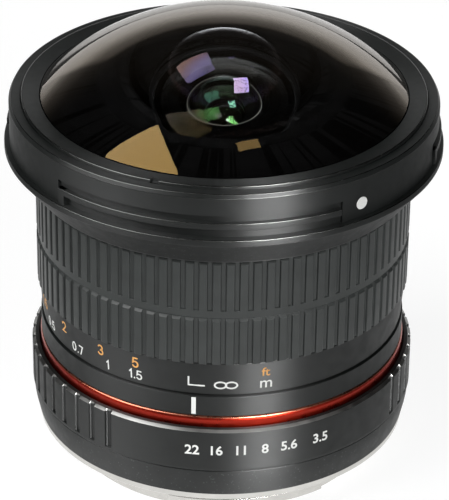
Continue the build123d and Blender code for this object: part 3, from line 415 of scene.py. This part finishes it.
def flange_paint(k):
    """0 black, 1 textured on the neck's cone, 2 inner black, 3 painted edge highlight."""
    (r, z), highlit = flange_plain[k]
    next_r, next_z = flange_plain[(k + 1) % len(flange_plain)][0]
    if highlit:
        return 3
    if r > 33 and neck_rear + 0.2 < z < cone_front and next_z > neck_rear + 1:
        return 1
    bowl = min(r, next_r) < bezel_radius - 0.1 and z > bowl_rear - 0.1
    bezel_recess = r < bezel_radius + 0.1 and bezel_seat - 0.4 < z < wall_front - 0.2
    return 2 if bowl or bezel_recess else 0


columns = []
for k in range(3):
    start = rail_start - slot_margin + 120 * k
    slot_sweep = rail_sweep + 2 * slot_margin
    columns += [(start, flange_plain)]
    columns += [(start + slot_step + (slot_sweep - 2 * slot_step) * n / slot_columns, flange_slotted)
                for n in range(slot_columns + 1)]
    columns += [(start + slot_sweep + (120 - slot_sweep) * n / band_columns, flange_plain)
                for n in range(band_columns)]
columns = [(angle, [point for point, highlit in profile]) for angle, profile in columns]
spun("flange_body", columns, "barrel", "front_flange",
     (black, textured, inner_black, edge_highlight), flange_paint)

bm = bmesh.new()
# The rail's front edge takes the painted edge highlight
rail_top = [(rail_radius, rail_front, 0.15, HIGHLIGHT_EDGE), (rail_inside, rail_front, 0)]
rail_section = outline([(rail_inside, rail_rear, 0), (rail_radius, rail_rear, 0.1)] + rail_top)
stop_section = outline([(rail_inside, stop_rear, 0), (rail_radius, stop_rear, 0)] + rail_top)
for k in range(3):
    bar(bm, rail_section, rail_start + 120 * k, rail_sweep, rail_columns)
    bar(bm, stop_section, rail_start + 120 * k, stop_sweep, stop_columns)
bmesh.ops.recalc_face_normals(bm, faces=bm.faces)
piece("hood_rails", bm, "barrel", (black, edge_highlight))

# The two spanner notches cut the bezel's face from its edge to notch_inside
notch_middles, notch_half = (-18.7, 161.3), round_degrees(0.75, 34.0)
notch_inside, notch_floor, notch_columns, bezel_columns = 33.4, 61.2, 8, 200
bezel_edges = [(34.5, 61.62), (34.46, 61.7), (34.38, 61.77), (34.26, 61.79)]
bezel_inside = [(notch_inside, 61.71), (31.4, 61.51), (31.3, 61.4), (31.3, 60.6), (glass_radius, 60.6),
                (glass_radius, bezel_seat)]
bezel_face = bezel_edges + bezel_inside[:1]
bezel_plain = [(34.5, bezel_seat)] + bezel_face + bezel_inside
bezel_cut = [(34.5, bezel_seat)] + [(r, notch_floor) for r, z in bezel_face] + bezel_inside
columns = []
for middle in notch_middles:
    a, b = middle - notch_half, middle + notch_half
    columns += [(a, bezel_plain)]
    columns += [(a + (b - a) * k / notch_columns, bezel_cut) for k in range(notch_columns + 1)]
    columns += [(b, bezel_plain)]
    rest = 180 - 2 * notch_half
    columns += [(b + rest * k / bezel_columns, bezel_plain) for k in range(1, bezel_columns)]
# The bezel's outer edge faces, 1 to 3, take the painted edge highlight
spun("bezel_ring", columns, "barrel", "front_bezel", (black, inner_black, edge_highlight),
     lambda k: 1 if 7 <= k <= 11 else 2 if 1 <= k <= 3 else 0)

# Fixed bands and the focus ring
index_profile = rounded([(sleeve_bore, index_rear, 0), (index_radius, index_rear, 0.12),
                         (index_radius, index_front, 0.10), (sleeve_bore, index_front, 0)])
lathe("index_band", index_profile, "barrel", "index_barrel", (black,))
bead_profile = rounded([
    (sleeve_bore, index_rear, 0), (sleeve_bore, red_rear, 0), (red_radius, red_rear, 0),
    (red_radius, 15.8, 0.3), (31.85, 16.25, 0.3), (31.3, index_rear, 0.2),
], 6)
# The bead's top facet takes the painted highlight
lathe("red_bead", bead_profile, "barrel", "red_ring", (red, red_highlight),
      lambda k: int(bead_profile[k][1] > 16.1 and 31.3 < bead_profile[k][0] < 31.94))
barrel_profile = [
    (sleeve_bore, 1.2), (sleeve_bore, 6.4), (33.12, 6.4), (33.22, 6.36), (33.28, 6.29), (33.3, 6.2),
    (33.28, 5.4), (33.2, 4.5), (33.05, 3.6), (32.87, 2.8), (32.7, 2.0), (32.5, 1.2),
]
lathe("rear_barrel_shell", barrel_profile, "barrel", "rear_barrel", (textured_rear,))
scale_profile = rounded([
    (ring_bore, scale_rear, 0), (scale_rear_radius, scale_rear, 0.14),
    (scale_front_radius, scale_front, 0.14), (grip_seat, scale_front, 0), (grip_seat, grip_front, 0),
    (30.22, grip_front, 0), (30.22, 34.05, 0), (ring_bore, 34.05, 0),
])
lathe("scale_band", scale_profile, "focus_ring_unit", "focus_ring", (black,))

# Aperture ring: bevelled top, flutes over all but the numbered face
flute_half, flute_foot = 0.625, 7.15
bevel_rear, bevel_front = 14.2, 14.6
ring_rear, ring_inside = 6.55, 32.3
flute_pitch, flute_first, flute_count = 6.26, -34.8, 43
land_steps = (2.2, 3.13, 4.1)            # columns on the land after a flute, in degrees from its middle
face_gap, face_columns = 4.9, 100        # numbered face: where it starts after the last flute
# Half a flute's section: (distance from its middle, radius), from its rounded shoulder to its floor
flute_depths = [(0.74, numbers_radius), (0.68, 33.49), (0.64, 33.46), (flute_half, 33.40)]
for share in (0.97, 0.9, 0.78, 0.62, 0.42, 0.2, 0.0):
    flute_depths.append((flute_half * share, 33.505 - flute_half * sqrt(1 - share * share)))


def aperture_profile(r):
    """Section of the ring whose outside is at radius r in front of the flutes' foot."""
    top = bevel_rear + (numbers_radius - r) / 0.6 * 0.4 if r > 32.9 else bevel_front
    return [
        (ring_bore, ring_rear), (33.35, ring_rear), (33.45, 6.6), (numbers_radius, 6.7),
        (numbers_radius, flute_foot), (r, flute_foot), (r, 10.5), (r, min(top - 0.1, 14.15)),
        (min(r, numbers_radius - 0.03), min(top, 14.22)), (min(r, 32.95), 14.56),
        (min(r, 32.86), bevel_front), (ring_inside, bevel_front), (ring_inside, 13.4), (ring_bore, 13.4),
    ]


columns = []
flutes = [flute_first - flute_pitch * k for k in range(flute_count - 1, -1, -1)]
for middle in flutes:
    offsets = [(-off, r) for off, r in flute_depths] + list(reversed(flute_depths[:-1]))
    columns += [(middle + round_degrees(off, numbers_radius), aperture_profile(r)) for off, r in offsets]
    columns += [(middle + step, aperture_profile(numbers_radius)) for step in land_steps]
face_start = flutes[-1] + face_gap
face_sweep = flutes[0] + 360 - (flutes[-1] + flute_pitch) + 1.0
columns += [(face_start + face_sweep * k / face_columns, aperture_profile(numbers_radius))
            for k in range(face_columns)]
# Face 8, the top bevel, takes the painted bevel highlight
spun("stop_ring", columns, "aperture_ring_unit", "aperture_ring", (black, bevel),
     lambda k: int(k == 8), crease=38)

# Rubber grip: two rows of ribs with rounded crests, ends bevelled in front
rib_count, rib_first, rib_height = 90, 2.5, 0.65
rib_foot, bevel_slope = 31.7, 0.846      # radius that ribs stand on, and their front ends' slope
rib_crest = 32.0                         # radius at which a rib's width is measured
grip_bore = 31.02
belt_radius, belt_rear, belt_front = 32.1, 35.88, 37.12
# One rib's section from valley to valley: (distance from its middle, height)
rib = [(-1.05, 0.22), (-0.84, 0.225), (-0.76, 0.26), (-0.71, 0.33), (-0.68, 0.52), (-0.65, 0.60),
       (-0.58, 0.64), (-0.46, rib_height), (0.0, rib_height)]
rib += [(-off, h) for off, h in reversed(rib[1:-1])]


def grip_profile(h):
    """Section of the grip where its ribs stand h high; lower places end further forward, as a bevel."""
    r = rib_foot + h
    back = (rib_height - h) * bevel_slope
    rise = min(h, 0.1)
    return [
        (grip_bore, scale_front), (r - 0.05 - 0.4 * rise, scale_front), (r, 26.97 + 0.6 * rise), (r, 31.0),
        (r, 35.25 + back), (31.72, 35.79), (31.75, 35.82), (32.04, 35.82), (belt_radius, belt_rear),
        (belt_radius, belt_front), (32.04, 37.18), (r - 0.03, 37.2), (r, 37.24), (r, 41.5), (r, 46.0 + back),
        (rib_foot, 46.54), (grip_bore, grip_front),
    ]


columns = []
for k in range(rib_count):
    middle = rib_first + 360 / rib_count * k
    columns += [(middle + round_degrees(off, rib_crest), grip_profile(h)) for off, h in rib]
spun("grip_sleeve", columns, "focus_ring_unit", "focus_grip", (rubber,), crease=40)


# Glass: each surface has its own coating


def element(name, node_name, body, rear, front, materials, paint):
    """Closed glass body from the rear profile outwards and the front profile inwards."""
    obj = lathe(name, rear + front, body, node_name, materials, paint, 256)
    obj.visible_shadow = False


def meniscus(name, node_name, materials, edge, front, rear, front_curve, front_reach, rear_curve, rear_reach):
    """Element of the middle group, hollow to the rear.

    edge is its radius, front and rear are the heights of its edge, and each surface has a
    radius of curvature and reaches so far from the axis.
    """
    steps = 32
    back = arc(rear_curve, 0, rear_reach, (rear_reach, rear), steps)
    face = arc(front_curve, front_reach, 0, (front_reach, front), steps)
    element(name, node_name, "middle_group", back, [(edge, rear), (edge, front)] + face, materials,
            lambda k: 1 if k < steps else 2 if k < steps + 3 else 0)


dome_edge, dome_shoulder, dome_reach, dome_curve = 31.8, 60.6, 31.2, 45.8
hollow_reach, hollow_curve = 15.9, 16.2
dome_front = [(dome_edge, glass_seat), (dome_edge, dome_shoulder), (dome_reach, dome_shoulder)]
dome_front += arc(dome_curve, dome_reach, 0, (dome_reach, 61.6), 64)
dome_rear = arc(hollow_curve, 0, hollow_reach, (hollow_reach, glass_seat))
element("front_glass", "front_element", "barrel", dome_rear, dome_front,
        (glass_front, glass_hollow, glass_edge),
        lambda k: 1 if k < len(dome_rear) - 1 else 2 if k < len(dome_rear) + 3 else 0)
meniscus("second_glass", "second_element", (glass_olive, glass_teal, glass_edge),
         edge=16.0, front=55.2, rear=50.5,
         front_curve=40.0, front_reach=15.7, rear_curve=12.0, rear_reach=9.37)
meniscus("third_glass", "third_element", (glass_green, glass_green, glass_edge),
         edge=11.2, front=48.8, rear=44.5,
         front_curve=40.0, front_reach=9.8, rear_curve=22.0, rear_reach=9.4)
# The retainer's front chamfer takes the painted ring highlight
retainer_profile = [(11.2, 49.0), (11.2, 50.2), (9.12, 50.2), (9.0, 50.08), (9.0, 49.0)]
lathe("third_retainer", retainer_profile, "middle_group", "third_ring",
      (inner_black, ring_highlight), lambda k: int(k == 2), 128)

# Carried-over solids: their own materials
finishes = {"mount_plate": chrome, "rear_baffle": baffle}
finishes |= dict.fromkeys(("mount_screws", "click_ball", "tie_screws", "cam_followers"), steel)
finishes |= dict.fromkeys((
    "main_barrel", "focus_cam", "focus_carrier", "second_ring", "fifth_ring", "iris_base", "iris_drive_ring",
    "iris_cover", "aperture_lever", "rear_cell", "front_spacer", "rear_spacer", "rear_ring",
), inner_black)
finishes |= dict.fromkeys([f"iris_blade_{k}" for k in range(1, 7)], blade_steel)
deep_elements = [n + "_element" for n in ("fourth", "fifth", "sixth", "seventh", "eighth", "ninth", "tenth")]
finishes |= dict.fromkeys(deep_elements, glass_deep)
for name, finish in finishes.items():
    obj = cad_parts[name]
    obj.data.materials.clear()
    obj.data.materials.append(finish)
for name in deep_elements:
    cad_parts[name].visible_shadow = False

# Markings: thin letters and strokes wrapped round the bands
mark_lift, mark_sunk = 0.02, -0.03       # outside and inside of a mark, from the band's surface
layer_step = 0.004                       # strokes that cross lie this much over each other


def wrap(radius, angle, z, u, v, lift):
    """Point at u across and v up from a mark's middle, lifted off a band of the given radius."""
    r = radius(z + v) if callable(radius) else radius
    return place(r + lift, angle + round_degrees(u, r), z + v)


def letters(bm, text, height, weight, radius, angle, z):
    """Adds built-in font letters, as tall as height, centred on an angle and a height."""
    curve = bpy.data.curves.new("letters", "FONT")
    curve.body = text
    curve.offset = weight
    curve.extrude = 0.5
    curve.resolution_u = 5
    obj = bpy.data.objects.new("letters", curve)
    scene.collection.objects.link(obj)
    mesh = bpy.data.meshes.new_from_object(obj.evaluated_get(bpy.context.evaluated_depsgraph_get()))
    bpy.data.objects.remove(obj)
    xs, ys = [v.co.x for v in mesh.vertices], [v.co.y for v in mesh.vertices]
    size = height / (max(ys) - min(ys))
    middle = (max(xs) + min(xs)) / 2, (max(ys) + min(ys)) / 2
    for v in mesh.vertices:
        out = mark_lift if v.co.z > 0 else mark_sunk
        v.co = wrap(radius, angle, z, (v.co.x - middle[0]) * size, (v.co.y - middle[1]) * size, out)
    bm.from_mesh(mesh)
    bpy.data.meshes.remove(mesh)


def stroke(bm, path, width, radius, angle, z, lift=mark_lift, blunt=False):
    """Adds a drawn line of even width; path is complex points in mm, closed if its ends meet."""
    closed = abs(path[0] - path[-1]) < 1e-6
    points = [path[0]]
    for a, b in zip(path, path[1:]):
        parts = ceil(abs(b - a) / 0.5)     # long segments follow the band's curve
        points += [a + (b - a) * k / parts for k in range(1, parts + 1)]
    if closed:
        points.pop()
    pairs = []
    for i, p in enumerate(points):
        before = p - points[i - 1] if i or closed else points[1] - p
        after = points[(i + 1) % len(points)] - p if i + 1 < len(points) or closed else before
        before, after = before / abs(before), after / abs(after)
        mid = (before + after) / abs(before + after)
        side = mid * 1j * width / 2 / max(0.4, (mid * after.conjugate()).real)
        pairs.append((p + side, p - side))
    if not closed and not blunt:
        for end, ahead in ((0, points[0] - points[1]), (-1, points[-1] - points[-2])):
            d = ahead / abs(ahead) * width / 2
            cap = [[points[end] + d * sin(t) + s * 1j * d * cos(t) for s in (1, -1)] for t in (0.5, 1.0, 1.4)]
            pairs = pairs + cap if end else [(b, a) for a, b in reversed(cap)] + pairs
    rows = []
    for a, b in pairs:
        ring = ((a, mark_sunk), (a, lift), (b, lift), (b, mark_sunk))
        rows.append([bm.verts.new(wrap(radius, angle, z, p.real, p.imag, h)) for p, h in ring])
    for i in range(len(rows) if closed else len(rows) - 1):
        a, b = rows[i], rows[(i + 1) % len(rows)]
        for k in range(4):
            bm.faces.new((a[k], b[k], b[(k + 1) % 4], a[(k + 1) % 4]))
    if not closed:
        bm.faces.new(rows[0])
        bm.faces.new(reversed(rows[-1]))


def bow(x, y, rx, ry, start, stop, steps=14):
    """Points of an ellipse's arc between two angles."""
    angles = [radians(start + (stop - start) * k / steps) for k in range(steps + 1)]
    return [complex(x + rx * cos(t), y + ry * sin(t)) for t in angles]


# Figures of the distance scale, one unit tall: (advance, strokes)
figure_gap = 0.28                        # the part of an advance that is empty
figures = {
    "0": (0.86, [bow(0.28, 0.5, 0.27, 0.5, 90, 450, 28)]),
    "1": (0.52, [[0.03 + 0.78j, 0.22 + 1j, 0.22 + 0j]]),
    "2": (0.84, [bow(0.28, 0.71, 0.27, 0.29, 165, -38) + [0.0 + 0j, 0.57 + 0j]]),
    "3": (0.84, [bow(0.27, 0.75, 0.24, 0.25, 150, -80) + bow(0.27, 0.26, 0.28, 0.27, 80, -155)]),
    "4": (0.88, [[0.44 + 0j, 0.44 + 1j, 0.0 + 0.3j, 0.6 + 0.3j]]),
    "5": (0.84, [[0.5 + 1j, 0.1 + 1j, 0.05 + 0.52j] + bow(0.27, 0.31, 0.28, 0.31, 125, -150)]),
    "7": (0.80, [[0.0 + 1j, 0.54 + 1j, 0.18 + 0j]]),
    ".": (0.34, [[0.06 + 0.02j, 0.06 + 0.07j]]),
}


def figure_line(bm, text, height, width, radius, angle, z):
    """Adds a drawn number, centred on an angle and a height."""
    x = -(sum(figures[c][0] for c in text) - figure_gap) / 2
    for c in text:
        advance, strokes = figures[c]
        for k, path in enumerate(strokes):
            drawn = [((p + x) - 0.5j) * height for p in path]
            stroke(bm, drawn, width, radius, angle, z, mark_lift + layer_step * k)
        x += advance


def finish_marks(name, bm, body, material):
    bmesh.ops.recalc_face_normals(bm, faces=bm.faces)
    obj = piece(name, bm, body, (material,))
    obj.modifiers.clear()


def scale_radius(z):
    """Radius of the scale band's cone at a height."""
    rise = scale_front_radius - scale_rear_radius
    return scale_rear_radius + rise * (z - scale_rear) / (scale_front - scale_rear)


stop_height, stop_weight, stop_level = 1.85, 0.020, 10.7
feet_height, feet_width, feet_level = 1.80, 0.28, 24.8
metre_height, metre_width, metre_level = 1.62, 0.25, 22.35

bm = bmesh.new()
for text, angle in (("22", -8.16), ("16", -0.98), ("11", 6.05), ("8", 13.11), ("5.6", 20.36), ("3.5", 30.44)):
    letters(bm, text, stop_height, stop_weight, numbers_radius, angle, stop_level)
finish_marks("stop_numbers", bm, "aperture_ring_unit", paint_white)

bm = bmesh.new()
for text, angle in (("5", -26.9), ("3", -39.8), ("2", -57.6), ("1.5", -73.9), ("1", -107.5)):
    figure_line(bm, text, feet_height, feet_width, scale_radius, angle, feet_level)
letters(bm, "ft", 1.75, 0.012, scale_radius, 13.6, 24.95)
finish_marks("distance_feet", bm, "focus_ring_unit", paint_orange)

bm = bmesh.new()
for text, angle in (("1.5", -27.0), ("1", -37.25), ("0.7", -50.65), ("0.5", -68.0),
                    ("0.4", -83.5), ("0.3", -109.1)):
    figure_line(bm, text, metre_height, metre_width, scale_radius, angle, metre_level)
letters(bm, "m", 1.45, 0.004, scale_radius, 13.8, 22.4)
for side in (-1, 1):                     # the infinity sign's two ovals
    oval = [side * (0.92 + 0j) + p for p in bow(0, 0, 0.97, 0.64, 0, 360, 28)]
    stroke(bm, oval, 0.30, scale_radius, 1.55, 22.55, mark_lift + layer_step * side)
depth_mark = [0 + 1.72j, 0 + 0j, 2.75 + 0j]
stroke(bm, depth_mark, 0.28, scale_radius, -9.85, metre_level, blunt=True)
finish_marks("distance_metres", bm, "focus_ring_unit", paint_white)

bm = bmesh.new()
stroke(bm, [0 - 1.65j, 0 + 1.65j], 0.76, index_radius, -8.2, 18.4, blunt=True)
hood_dot = bow(0, 0, 0.55, 0.55, 0, 360, 24)
stroke(bm, hood_dot, 1.09, wall_radius, 37.9, 56.05)
finish_marks("index_marks", bm, "barrel", paint_white)

# Floor: grey paper that glows, with painted light in a bright patch behind and under the lens and in a far
# one that its glass mirrors
floor_radius, floor_level = 3.0, -5.4 * MM
floor_colour, painted_pool_glow, least_glow = 0.20, 0.80, 0.05
bm = bmesh.new()
bmesh.ops.create_circle(bm, cap_ends=True, radius=floor_radius, segments=96)
mesh = bpy.data.meshes.new("floor")
bm.to_mesh(mesh)
bm.free()
floor = bpy.data.objects.new("floor", mesh)
floor.location.z = floor_level
scene.collection.objects.link(floor)
m, t, p = principled("floor_paper", Roughness=0.9, Specular_IOR_Level=0.1)
p.inputs["Base Color"].default_value = (floor_colour, floor_colour, floor_colour, 1)


def painted_pool(shift, scale, inner, outer):
    """1 within an oval on the floor, fading to 0 from inner to outer."""
    point = node(t, "NewGeometry").outputs["Position"]
    spot = node(t, "Mapping", {"Vector": point, "Location": shift, "Scale": scale}).outputs[0]
    return span(t, length_of(t, spot), inner, outer, 1.0, 0.0, smooth=True)


# Painted light: the floor glows brightest inside these ovals
painted_pools = calc(t, "MAXIMUM", painted_pool((0.0, -0.11, 0.0), (2.2, 1.0, 1.0), 0.16, 0.30),
             painted_pool((-0.06, -0.63, 0.0), (1.5, 0.36, 1.0), 0.50, 0.62))
strength = calc(t, "ADD", calc(t, "MULTIPLY", painted_pools, painted_pool_glow), least_glow)
glow = node(t, "Emission", {"Color": (1, 1, 1, 1), "Strength": strength}).outputs[0]
lit = node(t, "AddShader", {0: p.outputs[0], 1: glow}).outputs[0]
# From below, the camera sees the lens through the floor
is_camera = node(t, "LightPath").outputs["Is Camera Ray"]
under = calc(t, "MULTIPLY", node(t, "NewGeometry").outputs["Backfacing"], is_camera)
clear = node(t, "BsdfTransparent").outputs[0]
surface = node(t, "MixShader", {0: under, 1: lit, 2: clear}).outputs[0]
t.links.new(surface, t.nodes["Material Output"].inputs["Surface"])
mesh.materials.append(m)

# World: a bright wall behind the lens that fades upward and to the sides, and a card on it
world = bpy.data.worlds.new("world")
world.use_nodes = True
t = world.node_tree
way = node(t, "SeparateXYZ", {0: node(t, "TexCoord").outputs["Generated"]}).outputs
sideways = node(t, "CombineXYZ", {0: way[0], 1: way[1]}).outputs[0]
flat = node(t, "VectorMath", {0: sideways}, operation="NORMALIZE")
north = node(t, "SeparateXYZ", {0: flat.outputs[0]}).outputs[1]
above = calc(t, "ADD", way[2], 0.0, clamp=True)
level = ramp(t, above, (0.0, 1.0), (0.095, 1.0), (0.14, 0.6), (0.21, 0.3), (0.34, 0.10), (0.5, 0.03))
wall_width = span(t, north, cos(radians(52)), cos(radians(24)), 0.10, 1.0, smooth=True)
card = ramp(t, way[2], (0.0, 1.0), (0.17, 1.0), (0.31, 0.38), (0.375, 0.25), (0.43, 0.0))
card_width = span(t, north, cos(radians(32)), cos(radians(26)), smooth=True)
card_gain = 1.3
bright = calc(t, "MAXIMUM", calc(t, "MULTIPLY", level, wall_width),
              calc(t, "MULTIPLY", card, calc(t, "MULTIPLY", card_width, card_gain)))
t.links.new(bright, t.nodes["Background"].inputs["Color"])
scene.world = world


# Lamps


def softbox(name, centre, across, up, width, height, radiance):
    """Rectangular area lamp with the given radiance; it shines along across x up reversed."""
    lamp = bpy.data.lights.new(name, "AREA")
    lamp.shape = "RECTANGLE"
    lamp.size, lamp.size_y = width, height
    lamp.energy = radiance * pi * width * height
    obj = bpy.data.objects.new(name, lamp)
    x, y = Vector(across).normalized(), Vector(up).normalized()
    y = (y - x * x.dot(y)).normalized()
    obj.matrix_world = Matrix.Translation(centre) @ Matrix((x, y, x.cross(y))).transposed().to_4x4()
    obj.visible_camera = False
    scene.collection.objects.link(obj)
    return obj


# The key's corner and its two edges, as they show in the glass
key_long, key_short = Vector((-0.716, -0.144, -0.684)), Vector((0.197, -0.980, 0.0))
key_corner = Vector((-0.413, 0.0665, 0.975))
key_width, key_height = 0.692, 0.978
softbox("key_softbox", key_corner + key_short * (key_width / 2) + key_long * (key_height / 2),
        key_short, -key_long, key_width, key_height, 5.5)
softbox("top_softbox", (0.1545, -0.160, 0.97), (0.929, 0.370, 0), (-0.370, 0.929, 0), 0.145, 0.07, 2.4)
front_place = Vector((0.381, -0.801, 0.456))
front_shape = (0.925, 0.34, -0.172), (-0.002, 0.455, 0.89), 0.36, 0.501
fill = softbox("front_softbox", front_place, *front_shape, 12.0)
fill.visible_glossy = fill.visible_transmission = False
# A renderer may clamp one lamp's mirror image, so the front box's gloss is stacked in thin layers
layer_gap = 0.004
for layer in range(1, 5):
    nearer = Vector((-0.381, 0.823, -0.421)) * layer_gap * layer
    softbox(f"front_gloss_{layer}", front_place + nearer, *front_shape, 10.0).visible_diffuse = False
